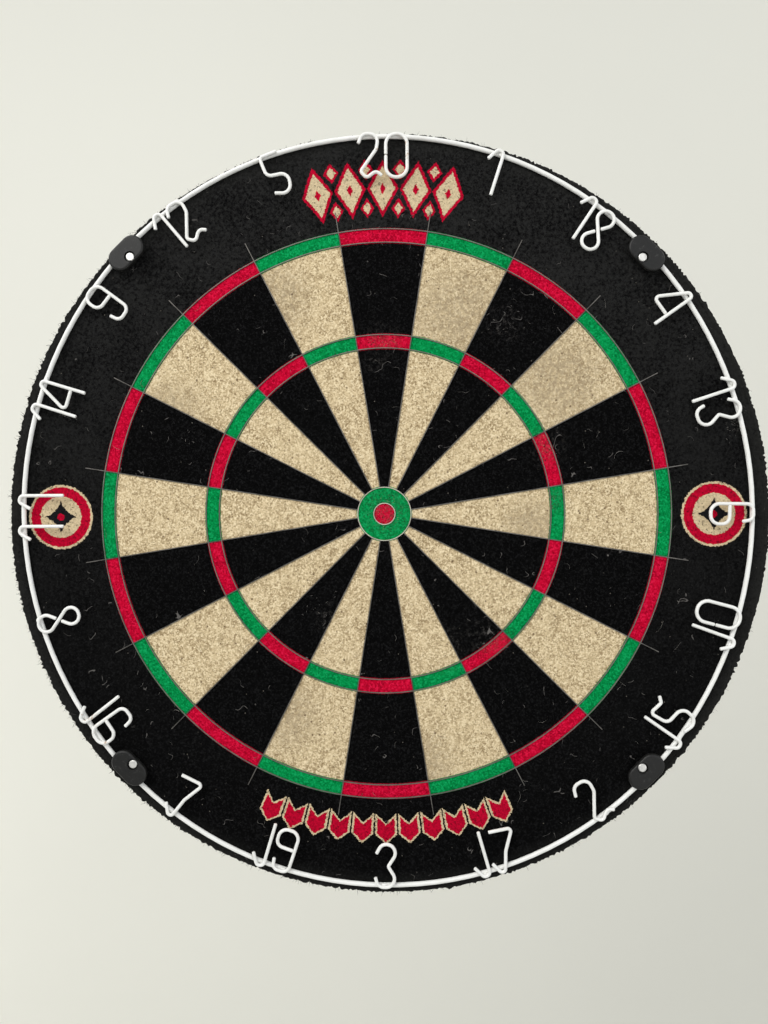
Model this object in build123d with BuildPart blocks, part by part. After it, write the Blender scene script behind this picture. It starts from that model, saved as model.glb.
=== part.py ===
# Bristle dartboard with a wire number ring, plastic ring clips and its wall hanging kit.
# Millimetres. +Z is up, -Y points at the player, the wall is the plane Y = 0 and the origin
# is where the board's axis meets the wall.
import os
from math import cos, radians, sin, tan

from build123d import *

os.makedirs("parts", exist_ok=True)

# board
BOARD_R = 225.4
CORE_R = 224.5
BOARD_THICKNESS = 38.0
STANDOFF = 13.0
BACKING_THICKNESS = 10.0
FACE_DEPTH = 6.0
BAND_THICKNESS = 0.9
BAND_FRONT_SETBACK = 6.5
BAND_SEAM = 0.8

# scoring rings, as the playing rules fix them
DOUBLE_R = (162.0, 170.0)
TREBLE_R = (99.0, 107.0)
OUTER_BULL_R = 15.9
BULL_R = 6.35
SEGMENTS = 20
SEGMENT_ANGLE = 360.0 / SEGMENTS

# blades that divide the face
BLADE_THICKNESS = 0.5
BLADE_GAP = 0.05
BLADE_PROUD = 0.35
BLADE_TIP_R = 182.0

# number ring: an oval hoop of four tangent arcs, taller than wide, a little above the axis
HOOP_WIRE_R = 1.35
HOOP_HALF_WIDTH = 216.6
HOOP_HALF_HEIGHT = 222.7
HOOP_LIFT = 1.5
HOOP_LEAN = 6.2
HOOP_FACE_GAP = 0.3
NUMERAL_WIRE_R = 1.0
WIRE_END_ROUND = 0.55
WELD_GAP = 0.02
NUMERAL_INSET = 25.2
DIGIT_HEIGHT = 25.5

# ring clips: turn buttons whose tab laps the hoop and whose pin stands inside it, off the tab's middle
CLIP_LENGTH = 24.0
CLIP_WIDTH = 14.1
CLIP_HEIGHT = 6.0
CLIP_INSET = 3.3
CLIP_HOOP_GAP = 0.3
CLIP_BOSS_R = 2.6
CLIP_EDGE = 1.3
CLIP_BEARINGS = (45.5, 134.8, 225.4, 315.6)
PIN_INSET = 6.8
PIN_SHANK_R = 0.9
PIN_HEAD_R = 2.5
PIN_HEAD_SINK = 0.2
PIN_SOCKET_R = 3.3
PIN_SOCKET_DEPTH = 1.5
PIN_DEPTH = 14.0
PIN_CLEARANCE = 0.06

# hanging kit
BRACKET_WIDTH = 90.0
BRACKET_HEIGHT = 76.0
BRACKET_SHEET = 1.5
BRACKET_CORNER = 5.0
BRACKET_CHANNEL = 46.0
BRACKET_DEPTH = 11.0
WALL_HOLE_R = 2.5
WALL_HOLE_X = 69.0
WALL_HOLE_Z = 50.0
BUSH_R = 4.0
BUSH_FLANGE_R = 7.0
BUSH_FLANGE = 1.1
BUSH_PLAY = 0.1
SLOT_CLEARANCE = 0.06
SCREW_R = 2.4
SCREW_CLEARANCE = 0.08
SCREW_HEAD_R = 5.5
SCREW_HEAD_HEIGHT = 2.8
SCREW_CROSS = (5.6, 1.2)
SCREW_CROSS_DEPTH = 1.8
SCREW_BITE = 15.0
WASHER_R = 8.0
WASHER_THICKNESS = 1.0
PAD_R = 12.0
PAD_RING_R = 188.0
PAD_SCREW_R = 1.7
PAD_SCREW_HEAD_R = 3.6
PAD_SOCKET_R = 4.4
PAD_SOCKET_DEPTH = 8.0
PAD_BEARINGS = (60.0, 180.0, 300.0)
PAD_SCREW_HEAD_HEIGHT = 2.2
PAD_SCREW_BITE = 8.0
PAD_SCREW_TAPER = 14.0
PAD_CROSS = (3.6, 0.9)
PAD_CROSS_DEPTH = 1.2

# riveted strap over the joint of the band
STRAP_ARC = 7.0
STRAP_WIDTH = 22.0
STRAP_SHEET = 0.7
RIVET_R = 1.2
RIVET_HEAD_R = 2.2
RIVET_HEAD_HEIGHT = 0.9
RIVET_HEAD_TAPER = 20.0
RIVET_ARC = 1.8
RIVET_SPACING = 12.0

BACK_Y = -STANDOFF
BACKING_FRONT_Y = BACK_Y - BACKING_THICKNESS
FACE_Y = BACK_Y - BOARD_THICKNESS
FIELD_BACK_Y = FACE_Y + FACE_DEPTH
HOOP_Y = FACE_Y - HOOP_FACE_GAP - HOOP_WIRE_R
NUMERAL_Y = HOOP_Y - HOOP_WIRE_R - NUMERAL_WIRE_R - WELD_GAP
BLADE_HALF = BLADE_THICKNESS / 2
FIELD_INSET = BLADE_HALF + BLADE_GAP
BUTT = NUMERAL_WIRE_R + WELD_GAP
CUT_MARGIN = 1.0


def facing(y):
    """The upright plane at depth y as the player sees it: X right, Z up, normal towards the player."""
    return Plane(origin=(0, y, 0), x_dir=(1, 0, 0), z_dir=(0, -1, 0))


def save(part, name):
    part.label = name
    export_step(part, f"parts/{name}.step")


def polar(radius, bearing):
    """A point on the face plane: bearing is clockwise from the top, as the player sees it."""
    return (radius * sin(radians(bearing)), radius * cos(radians(bearing)))


def hoop_reach(bearing):
    """Distance from the board's axis to the hoop's wire, a close fit to the oval."""
    mean = (HOOP_HALF_HEIGHT + HOOP_HALF_WIDTH) / 2
    swing = (HOOP_HALF_HEIGHT - HOOP_HALF_WIDTH) / 2
    return mean + swing * cos(radians(2 * (bearing + HOOP_LEAN))) + HOOP_LIFT * cos(radians(bearing))


# ---- sisal ----
pin_places = [polar(hoop_reach(b) - PIN_INSET, b) for b in CLIP_BEARINGS]
pin_hole_r = PIN_SHANK_R + PIN_CLEARANCE

with BuildPart() as sisal_core:
    with BuildSketch(facing(BACKING_FRONT_Y)):
        Circle(CORE_R)
    extrude(amount=BOARD_THICKNESS - BACKING_THICKNESS - FACE_DEPTH)
    with BuildSketch(facing(BACKING_FRONT_Y)):
        Circle(SCREW_R)
    extrude(amount=SCREW_BITE - BACKING_THICKNESS, mode=Mode.SUBTRACT)
    with BuildSketch(facing(FIELD_BACK_Y)):
        with Locations(*pin_places):
            Circle(pin_hole_r)
    extrude(amount=-(PIN_DEPTH - FACE_DEPTH + CUT_MARGIN), mode=Mode.SUBTRACT)
save(sisal_core.part, "sisal_core")

with BuildPart() as sisal_surround:
    with BuildSketch(facing(FIELD_BACK_Y)):
        Circle(BOARD_R)
        Circle(DOUBLE_R[1] + FIELD_INSET, mode=Mode.SUBTRACT)
        with PolarLocations(0, SEGMENTS, start_angle=SEGMENT_ANGLE / 2):
            Rectangle(BLADE_TIP_R + BLADE_GAP, 2 * FIELD_INSET,
                      align=(Align.MIN, Align.CENTER), mode=Mode.SUBTRACT)
        with Locations(*pin_places):
            Circle(pin_hole_r, mode=Mode.SUBTRACT)
    extrude(amount=FACE_DEPTH)
save(sisal_surround.part, "sisal_surround")


def fields(bands, first_segment):
    """Every second segment of the face, from first_segment on, in the rings listed outermost first."""
    half = SEGMENT_ANGLE / 2
    back_off = FIELD_INSET / sin(radians(half))
    reach = BLADE_TIP_R
    side = (reach + back_off) * tan(radians(half))
    with BuildPart() as field:
        with BuildSketch(facing(FIELD_BACK_Y)):
            for inner, outer in bands:
                Circle(outer - FIELD_INSET)
                Circle(inner + FIELD_INSET, mode=Mode.SUBTRACT)
            with PolarLocations(0, SEGMENTS // 2, start_angle=90 - (first_segment + 1) * SEGMENT_ANGLE):
                Polygon((-back_off, 0), (reach, -side), (reach, side), align=None, mode=Mode.SUBTRACT)
        extrude(amount=FACE_DEPTH)
    return field.part


singles = ((TREBLE_R[1], DOUBLE_R[0]), (OUTER_BULL_R, TREBLE_R[0]))
scoring_rings = (DOUBLE_R, TREBLE_R)

with BuildPart() as sisal_black_fields:
    add(fields(singles, 0))
save(sisal_black_fields.part, "sisal_black_fields")

with BuildPart() as sisal_natural_fields:
    add(fields(singles, 1))
save(sisal_natural_fields.part, "sisal_natural_fields")

with BuildPart() as sisal_red_fields:
    add(fields(scoring_rings, 0))
    with BuildSketch(facing(FIELD_BACK_Y)):
        Circle(BULL_R - FIELD_INSET)
    extrude(amount=FACE_DEPTH)
save(sisal_red_fields.part, "sisal_red_fields")

with BuildPart() as sisal_green_fields:
    add(fields(scoring_rings, 1))
    with BuildSketch(facing(FIELD_BACK_Y)):
        Circle(OUTER_BULL_R - FIELD_INSET)
        Circle(BULL_R + FIELD_INSET, mode=Mode.SUBTRACT)
    extrude(amount=FACE_DEPTH)
save(sisal_green_fields.part, "sisal_green_fields")

# ---- blades, slotted together like an egg crate ----
blade_depth = FACE_DEPTH + BLADE_PROUD
notch_width = BLADE_THICKNESS + 2 * BLADE_GAP
crossed_rings = (*TREBLE_R, *DOUBLE_R)
blade_angles = [SEGMENT_ANGLE * (k + 0.5) for k in range(SEGMENTS)]

with BuildPart() as radial_blades:
    start_r = OUTER_BULL_R + BLADE_HALF + BLADE_GAP
    for angle in blade_angles:
        a = radians(angle)
        upright = Plane(origin=(0, 0, 0), x_dir=(cos(a), 0, sin(a)), z_dir=(-sin(a), 0, cos(a)))
        with BuildSketch(upright):
            with Locations((start_r, FACE_Y - BLADE_PROUD)):
                Rectangle(BLADE_TIP_R - start_r, blade_depth, align=(Align.MIN, Align.MIN))
            with Locations(*[(r, FACE_Y - BLADE_PROUD) for r in crossed_rings]):
                Rectangle(notch_width, blade_depth / 2, align=(Align.CENTER, Align.MIN),
                          mode=Mode.SUBTRACT)
        extrude(amount=BLADE_HALF, both=True)
save(radial_blades.part, "radial_blades")


def ring_blade(radius, crossed):
    with BuildPart() as ring:
        with BuildSketch(facing(FIELD_BACK_Y)):
            Circle(radius + BLADE_HALF)
            Circle(radius - BLADE_HALF, mode=Mode.SUBTRACT)
        extrude(amount=blade_depth)
        if crossed:
            with BuildSketch(facing(FIELD_BACK_Y)):
                with PolarLocations(radius, SEGMENTS, start_angle=SEGMENT_ANGLE / 2):
                    Rectangle(4 * BLADE_THICKNESS, notch_width)
            extrude(amount=blade_depth / 2, mode=Mode.SUBTRACT)
    return ring.part


save(ring_blade(DOUBLE_R[1], True), "double_outer_blade")
save(ring_blade(DOUBLE_R[0], True), "double_inner_blade")
save(ring_blade(TREBLE_R[1], True), "treble_outer_blade")
save(ring_blade(TREBLE_R[0], True), "treble_inner_blade")
save(ring_blade(OUTER_BULL_R, False), "outer_bull_ring")
save(ring_blade(BULL_R, False), "bull_ring")

# ---- number ring ----
oval_shift = (HOOP_HALF_HEIGHT - HOOP_HALF_WIDTH) / (2 - 2 ** 0.5)
side_arc_r = HOOP_HALF_WIDTH + oval_shift
end_arc_r = HOOP_HALF_HEIGHT - oval_shift
lean = radians(HOOP_LEAN)
leaning = Plane(origin=(0, HOOP_Y, HOOP_LIFT), x_dir=(cos(lean), 0, sin(lean)), z_dir=(0, -1, 0))

with BuildPart() as number_ring_hoop:
    with BuildLine(leaning) as hoop_line:
        CenterArc((-oval_shift, 0), side_arc_r, -45, 90)
        CenterArc((0, oval_shift), end_arc_r, 45, 90)
        CenterArc((oval_shift, 0), side_arc_r, 135, 90)
        CenterArc((0, -oval_shift), end_arc_r, 225, 90)
    with BuildSketch(Plane(origin=hoop_line.line @ 0, z_dir=hoop_line.line % 0)):
        Circle(HOOP_WIRE_R)
    sweep()
save(number_ring_hoop.part, "number_ring_hoop")

# Each digit is one bent wire: corners as (across, up, bend radius), read upright, its foot at 0
# and its top at DIGIT_HEIGHT. The first and last corners are the wire's ends.
DIGITS = {
    "0": [(-6.3, 13.4, 0), (-6.3, 25.5, 6.1), (6.3, 25.5, 6.1),
          (6.3, 0, 6.1), (-6.3, 0, 6.1), (-6.3, 12.9, 0)],
    "1": [(0, 0, 0), (0, 26.0, 2.3), (-3.8, 27.0, 2.4), (-8.0, 20.0, 0)],
    "2": [(-6.4, 20.0, 0), (-3.9, 26.0, 4.2), (5.6, 25.3, 4.6), (4.4, 16.8, 5.0),
          (-5.0, 3.6, 1.9), (-1.4, -0.4, 2.2), (4.2, 4.0, 3.0), (7.7, 0.9, 0)],
    "3": [(-5.4, 19.9, 0), (-2.2, 25.5, 4.4), (10.2, 25.5, 5.2), (1.6, 12.4, 1.2),
          (9.0, 0.2, 4.9), (-4.6, 0, 4.6), (-6.0, 6.0, 0)],
    "4": [(0, 0, 0), (0, 27.0, 1.9), (-3.2, 27.0, 1.9), (-13.4, 8.8, 2.0), (-BUTT, 8.8, 0)],
    "5": [(5.4, 26.0, 0), (2.6, 22.7, 1.6), (-6.0, 24.4, 2.0), (-4.8, 12.8, 4.0),
          (8.0, 11.2, 5.0), (6.2, -1.2, 4.8), (-3.4, 2.0, 0)],
    "6": [(4.9, 18.3, 0), (3.8, 24.8, 3.6), (-5.4, 24.6, 3.8), (-5.7, 0, 5.2),
          (6.4, 0, 5.0), (6.2, 10.8, 4.2), (-5.7 + BUTT, 11.2, 0)],
    "5 flat": [(5.4, 25.3, 0), (-5.6, 24.8, 2.0), (-4.8, 12.8, 4.0),
               (8.0, 11.2, 5.0), (6.2, -1.2, 4.8), (-3.4, 2.0, 0)],
    "7": [(-6.0, 24.2, 0), (8.2, 23.4, 1.8), (1.2, 11.0, 9.0),
          (-2.2, -0.8, 1.8), (-4.8, -0.4, 1.8), (-8.4, 5.6, 0)],
    "8": [(1.1, 13.9, 0), (10.0, 25.1, 4.7), (-10.0, 25.1, 4.7),
          (10.0, 0.1, 4.7), (-10.0, 0.1, 4.7), (-1.1, 11.3, 0)],
}
DIGITS["9"] = [(-x, DIGIT_HEIGHT - up, bend) for x, up, bend in DIGITS["6"]]

# Each number's digits as (digit, place along the ring, push outwards, lean in degrees). The numbers at
# the bottom are turned to be read from below, and their ones are flipped so that the hook still meets
# the hoop.
UPRIGHT, TURNED = 1, -1
NUMBERS = (
    (20, UPRIGHT, [("2", -8.0, 0, 0), ("0", 8.3, 0, 0)]),
    (1, UPRIGHT, [("1", 2.6, 0, 0)]),
    (18, UPRIGHT, [("1", -4.8, 0, 2), ("8", 4.7, 0, 0)]),
    (4, UPRIGHT, [("4", 4.3, 0, -1)]),
    (13, UPRIGHT, [("1", -5.8, 0, 0), ("3", 4.6, 0, 0)]),
    (6, UPRIGHT, [("6", 0.6, 0, 0)]),
    (10, TURNED, [("1", 7.4, 0, -2), ("0", -3.4, 0, 3)]),
    (15, TURNED, [("1", 7.2, 0.6, 1), ("5", -2.2, 1.0, 0)]),
    (2, TURNED, [("2", 1.4, 1.2, 0)]),
    (17, TURNED, [("1", 6.8, 0, -2), ("7", -4.6, 1.2, -3)]),
    (3, TURNED, [("3", 0.3, 0, 0)]),
    (19, TURNED, [("1", 5.2, 0, 1), ("9", -4.7, 1.2, 0)]),
    (7, TURNED, [("7", -1.2, 0.3, 13)]),
    (16, TURNED, [("1", 5.6, 0, 2), ("6", -5.8, 0.7, 0)]),
    (8, TURNED, [("8", 1.0, 0.5, 0)]),
    (11, UPRIGHT, [("1", -6.5, 0, 0), ("1", 11.9, 0, 0)]),
    (14, UPRIGHT, [("1", -0.8, 0, 0), ("4", 14.0, -1.0, 1)]),
    (9, UPRIGHT, [("9", 5.4, -0.6, 0)]),
    (12, UPRIGHT, [("1", -1.2, 0, 4), ("2", 7.1, 0.3, 0)]),
    (5, UPRIGHT, [("5 flat", 1.4, 0.2, 0)]),
)


def digit_path(digit, turn, along, inner_reach, lean):
    """The corners of one digit as (along the ring, out from the axis), and its bend radii."""
    points = []
    middle = DIGIT_HEIGHT / 2
    c, s = cos(radians(lean)), sin(radians(lean))
    for x, up, _ in DIGITS[digit]:
        if turn == TURNED and digit == "1":
            x = -x
        elif turn == TURNED:
            x, up = -x, DIGIT_HEIGHT - up
        rise = up - middle
        points.append((along + x * c - rise * s, inner_reach + middle + x * s + rise * c))
    radii = [bend for _, _, bend in DIGITS[digit][1:-1]]
    return points, radii


for place, (number, turn, digits) in enumerate(NUMBERS):
    bearing = place * SEGMENT_ANGLE
    b = radians(bearing)
    card = Plane(origin=(0, NUMERAL_Y, 0), x_dir=(cos(b), 0, -sin(b)), z_dir=(0, -1, 0))
    with BuildPart() as numeral:
        for digit, along, push, lean in digits:
            inner_reach = hoop_reach(bearing) - NUMERAL_INSET + push
            points, radii = digit_path(digit, turn, along, inner_reach, lean)
            with BuildLine(card) as bent:
                FilletPolyline(*points, radius=radii)
            with BuildSketch(Plane(origin=bent.line @ 0, z_dir=bent.line % 0)):
                Circle(NUMERAL_WIRE_R)
            sweep(path=bent.line)
        cut_ends = numeral.faces().filter_by(GeomType.PLANE)
        fillet(cut_ends.edges(), WIRE_END_ROUND)
    save(numeral.part, f"numeral_{number}")

# ---- ring clips and their pins ----
clip_base_y = FACE_Y - HOOP_FACE_GAP
clip_top_y = FACE_Y - CLIP_HEIGHT
tab_back_y = HOOP_Y - HOOP_WIRE_R - CLIP_HOOP_GAP
pin_head_height = PIN_SOCKET_DEPTH - PIN_HEAD_SINK

for count, bearing in enumerate(CLIP_BEARINGS, start=1):
    b = radians(bearing)
    across = (cos(b), 0, -sin(b))
    x, z = polar(hoop_reach(bearing) - CLIP_INSET, bearing)
    tab = Plane(origin=(x, tab_back_y, z), x_dir=across, z_dir=(0, -1, 0))
    px, pz = polar(hoop_reach(bearing) - PIN_INSET, bearing)
    foot = Plane(origin=(px, clip_base_y, pz), x_dir=across, z_dir=(0, -1, 0))
    with BuildPart() as ring_clip:
        with BuildSketch(tab):
            SlotOverall(CLIP_LENGTH, CLIP_WIDTH)
        extrude(amount=tab_back_y - clip_top_y)
        fillet(ring_clip.faces().sort_by(Axis.Y)[0].edges(), CLIP_EDGE)
        with BuildSketch(foot):
            Circle(CLIP_BOSS_R)
        extrude(amount=clip_base_y - tab_back_y)
        with BuildSketch(foot):
            Circle(PIN_SHANK_R + BLADE_GAP)
        extrude(amount=CLIP_HEIGHT, mode=Mode.SUBTRACT)
        with BuildSketch(foot.offset(clip_base_y - clip_top_y - PIN_SOCKET_DEPTH)):
            Circle(PIN_SOCKET_R)
        extrude(amount=PIN_SOCKET_DEPTH, mode=Mode.SUBTRACT)
    save(ring_clip.part, f"ring_clip_{count}")

    floor_y = clip_top_y + PIN_SOCKET_DEPTH
    floor = Plane(origin=(px, floor_y, pz), x_dir=across, z_dir=(0, -1, 0))
    with BuildPart() as clip_pin:
        with BuildSketch(floor):
            Circle(PIN_HEAD_R)
        extrude(amount=pin_head_height)
        fillet(clip_pin.faces().sort_by(Axis.Y)[0].edges(), pin_head_height / 2)
        with BuildSketch(floor):
            Circle(PIN_SHANK_R)
        extrude(amount=-(FACE_Y + PIN_DEPTH - floor_y))
        chamfer(clip_pin.faces().sort_by(Axis.Y)[-1].edges(), PIN_SHANK_R / 2)
    save(clip_pin.part, f"clip_pin_{count}")

# ---- backing, band and stand-off pads ----
pad_places = [polar(PAD_RING_R, bearing) for bearing in PAD_BEARINGS]

with BuildPart() as backing_board:
    with BuildSketch(facing(BACK_Y)):
        Circle(CORE_R)
        Circle(SCREW_R, mode=Mode.SUBTRACT)
        with Locations(*pad_places):
            Circle(PAD_SCREW_R, mode=Mode.SUBTRACT)
    extrude(amount=BACKING_THICKNESS)
save(backing_board.part, "backing_board")

band_inner_r = CORE_R + WELD_GAP
band_outer_r = band_inner_r + BAND_THICKNESS
band_width = BOARD_THICKNESS - BAND_FRONT_SETBACK
strap_inner_r = band_outer_r + WELD_GAP
strap_outer_r = strap_inner_r + STRAP_SHEET
strap_mid_y = BACK_Y - band_width / 2


def rivet_planes(radius):
    """Planes tangent to the band under its joint, one for each rivet, facing out from the axis."""
    planes = []
    for turn in (-RIVET_ARC, RIVET_ARC):
        x, z = polar(radius, 180 + turn)
        for y in (strap_mid_y - RIVET_SPACING / 2, strap_mid_y + RIVET_SPACING / 2):
            planes.append(Plane(origin=(x, y, z), x_dir=(0, 1, 0), z_dir=(x, 0, z)))
    return planes


with BuildPart() as steel_band:
    with BuildSketch(facing(BACK_Y)):
        Circle(band_outer_r)
        Circle(band_inner_r, mode=Mode.SUBTRACT)
        with Locations((0, -band_inner_r)):
            Rectangle(BAND_SEAM, 4 * BAND_THICKNESS, mode=Mode.SUBTRACT)
    extrude(amount=band_width)
    for plane in rivet_planes(band_outer_r):
        with BuildSketch(plane):
            Circle(RIVET_R)
        extrude(amount=1.5 * BAND_THICKNESS, both=True, mode=Mode.SUBTRACT)
save(steel_band.part, "steel_band")

with BuildPart() as band_strap:
    with BuildSketch(facing(strap_mid_y + STRAP_WIDTH / 2)):
        Circle(strap_outer_r)
        Circle(strap_inner_r, mode=Mode.SUBTRACT)
        far = 2 * strap_outer_r
        side = far * tan(radians(STRAP_ARC / 2))
        with BuildLine():
            Polyline((0, 0), (-side, -far), (side, -far), close=True)
        make_face(mode=Mode.INTERSECT)
    extrude(amount=STRAP_WIDTH)
    for plane in rivet_planes(strap_outer_r):
        with BuildSketch(plane):
            Circle(RIVET_R)
        extrude(amount=2 * STRAP_SHEET, both=True, mode=Mode.SUBTRACT)
save(band_strap.part, "band_strap")

with BuildPart() as band_rivets:
    for plane in rivet_planes(strap_outer_r + 2 * WELD_GAP):
        with BuildSketch(plane):
            Circle(RIVET_R - WELD_GAP)
        extrude(amount=-(STRAP_SHEET + BAND_THICKNESS))
        with BuildSketch(plane):
            Circle(RIVET_HEAD_R)
        extrude(amount=RIVET_HEAD_HEIGHT, taper=RIVET_HEAD_TAPER)
save(band_rivets.part, "band_rivets")

with BuildPart() as standoff_pads:
    with BuildSketch(facing(0)):
        with Locations(*pad_places):
            Circle(PAD_R)
    extrude(amount=STANDOFF)
    with BuildSketch(facing(0)):
        with Locations(*pad_places):
            Circle(PAD_SOCKET_R)
    extrude(amount=PAD_SOCKET_DEPTH, mode=Mode.SUBTRACT)
    with BuildSketch(facing(0)):
        with Locations(*pad_places):
            Circle(PAD_SCREW_R + BLADE_GAP)
    extrude(amount=STANDOFF, mode=Mode.SUBTRACT)
save(standoff_pads.part, "standoff_pads")

with BuildPart() as pad_screws:
    with BuildSketch(facing(-PAD_SOCKET_DEPTH)):
        with Locations(*pad_places):
            Circle(PAD_SCREW_HEAD_R)
    extrude(amount=-PAD_SCREW_HEAD_HEIGHT, taper=PAD_SCREW_TAPER)
    with BuildSketch(facing(-PAD_SOCKET_DEPTH)):
        with Locations(*pad_places):
            Circle(PAD_SCREW_R)
    extrude(amount=STANDOFF - PAD_SOCKET_DEPTH + PAD_SCREW_BITE)
    with BuildSketch(facing(-PAD_SOCKET_DEPTH + PAD_SCREW_HEAD_HEIGHT)):
        with Locations(*pad_places):
            Rectangle(*PAD_CROSS)
            Rectangle(*PAD_CROSS[::-1])
    extrude(amount=PAD_CROSS_DEPTH, mode=Mode.SUBTRACT)
save(pad_screws.part, "pad_screws")

# ---- hanging kit ----
plate_front_y = -BRACKET_DEPTH
plate_back_y = plate_front_y + BRACKET_SHEET
channel_half = BRACKET_CHANNEL / 2
flange_width = BRACKET_WIDTH / 2 - channel_half + BRACKET_SHEET

with BuildPart() as wall_bracket:
    with BuildSketch(Plane.XY.offset(-BRACKET_HEIGHT / 2)):
        with Locations((0, plate_front_y)):
            Rectangle(BRACKET_CHANNEL, BRACKET_SHEET, align=(Align.CENTER, Align.MIN))
        with Locations((-BRACKET_WIDTH / 2, 0)):
            Rectangle(flange_width, BRACKET_SHEET, align=(Align.MIN, Align.MAX))
        with Locations((-channel_half, 0)):
            Rectangle(BRACKET_SHEET, BRACKET_DEPTH, align=(Align.MIN, Align.MAX))
        with Locations((BRACKET_WIDTH / 2, 0)):
            Rectangle(flange_width, BRACKET_SHEET, align=(Align.MAX, Align.MAX))
        with Locations((channel_half, 0)):
            Rectangle(BRACKET_SHEET, BRACKET_DEPTH, align=(Align.MAX, Align.MAX))
    extrude(amount=BRACKET_HEIGHT)
    bends = wall_bracket.edges().filter_by(Axis.Z).group_by(Axis.Y)[0]
    fillet(bends, BRACKET_SHEET)
    corners = wall_bracket.edges().filter_by(Axis.Y).group_by(Axis.X)
    fillet(corners[0] + corners[-1], BRACKET_CORNER)
    with BuildSketch(facing(plate_back_y + CUT_MARGIN)):
        Circle(BUSH_R + SLOT_CLEARANCE)
        Rectangle(2 * (BUSH_R + SLOT_CLEARANCE), BRACKET_HEIGHT, align=(Align.CENTER, Align.MIN))
    extrude(amount=BRACKET_SHEET + 2 * CUT_MARGIN, mode=Mode.SUBTRACT)
    with BuildSketch(facing(CUT_MARGIN)):
        with GridLocations(WALL_HOLE_X, WALL_HOLE_Z, 2, 2):
            Circle(WALL_HOLE_R)
    extrude(amount=BRACKET_SHEET + 2 * CUT_MARGIN, mode=Mode.SUBTRACT)
save(wall_bracket.part, "wall_bracket")

bush_back_y = plate_back_y + BUSH_PLAY + BUSH_FLANGE
bush_front_y = plate_front_y - BUSH_PLAY - BUSH_FLANGE
with BuildPart() as hanger_bush:
    with BuildSketch(facing(bush_back_y)):
        Circle(BUSH_FLANGE_R)
    extrude(amount=BUSH_FLANGE)
    with BuildSketch(facing(bush_back_y)):
        Circle(BUSH_R)
    extrude(amount=bush_back_y - bush_front_y)
    with BuildSketch(facing(bush_front_y)):
        Circle(BUSH_FLANGE_R)
    extrude(amount=-BUSH_FLANGE)
    with BuildSketch(facing(bush_back_y)):
        Circle(SCREW_R + SCREW_CLEARANCE)
    extrude(amount=bush_back_y - bush_front_y, mode=Mode.SUBTRACT)
save(hanger_bush.part, "hanger_bush")

washer_front_y = bush_back_y + BUSH_PLAY
head_front_y = washer_front_y + WASHER_THICKNESS
with BuildPart() as centre_washer:
    with BuildSketch(facing(head_front_y)):
        Circle(WASHER_R)
        Circle(SCREW_R + BLADE_GAP, mode=Mode.SUBTRACT)
    extrude(amount=WASHER_THICKNESS)
save(centre_washer.part, "centre_washer")

with BuildPart() as centre_screw:
    with BuildSketch(facing(head_front_y)):
        Circle(SCREW_HEAD_R)
    extrude(amount=-SCREW_HEAD_HEIGHT)
    fillet(centre_screw.faces().sort_by(Axis.Y)[-1].edges(), SCREW_HEAD_HEIGHT / 2)
    with BuildSketch(facing(head_front_y)):
        Circle(SCREW_R)
    extrude(amount=head_front_y - BACK_Y + SCREW_BITE)
    with BuildSketch(facing(head_front_y + SCREW_HEAD_HEIGHT)):
        Rectangle(*SCREW_CROSS)
        Rectangle(*SCREW_CROSS[::-1])
    extrude(amount=SCREW_CROSS_DEPTH, mode=Mode.SUBTRACT)
save(centre_screw.part, "centre_screw")
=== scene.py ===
import bpy
import math
import random
from mathutils import Matrix, Vector, noise
from mathutils.kdtree import KDTree


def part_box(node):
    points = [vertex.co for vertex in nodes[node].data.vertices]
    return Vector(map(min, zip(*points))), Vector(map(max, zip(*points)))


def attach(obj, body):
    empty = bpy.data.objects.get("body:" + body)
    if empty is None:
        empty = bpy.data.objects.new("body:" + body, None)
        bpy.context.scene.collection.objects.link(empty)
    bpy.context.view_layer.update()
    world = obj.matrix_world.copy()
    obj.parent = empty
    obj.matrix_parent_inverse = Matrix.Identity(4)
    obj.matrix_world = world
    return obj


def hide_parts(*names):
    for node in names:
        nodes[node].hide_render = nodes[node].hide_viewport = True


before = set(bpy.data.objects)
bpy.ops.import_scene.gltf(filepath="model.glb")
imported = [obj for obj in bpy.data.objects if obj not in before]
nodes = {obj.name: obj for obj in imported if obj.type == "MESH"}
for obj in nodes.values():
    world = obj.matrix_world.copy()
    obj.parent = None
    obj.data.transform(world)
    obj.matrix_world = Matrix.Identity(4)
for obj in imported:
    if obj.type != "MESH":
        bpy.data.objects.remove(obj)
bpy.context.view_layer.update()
mm = 0.001
print("frame loaded:", len(nodes), "parts")

# radii of the scoring rings in mm, as the game sets them, and the turn from one number to the next
bull, outerBull, trebleIn, trebleOut, doubleIn, doubleOut = 6.35, 15.9, 99, 107, 162, 170
numberOrder = (20, 1, 18, 4, 13, 6, 10, 15, 2, 17, 3, 19, 7, 16, 8, 11, 14, 9, 12, 5)
fieldTurn = math.tau / len(numberOrder)

# short words for the sockets of the shader
socketNames = {
    "colour": "Base Color", "roughness": "Roughness", "metallic": "Metallic",
    "specular": "Specular IOR Level", "coat": "Coat Weight", "coatRoughness": "Coat Roughness",
}


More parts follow.
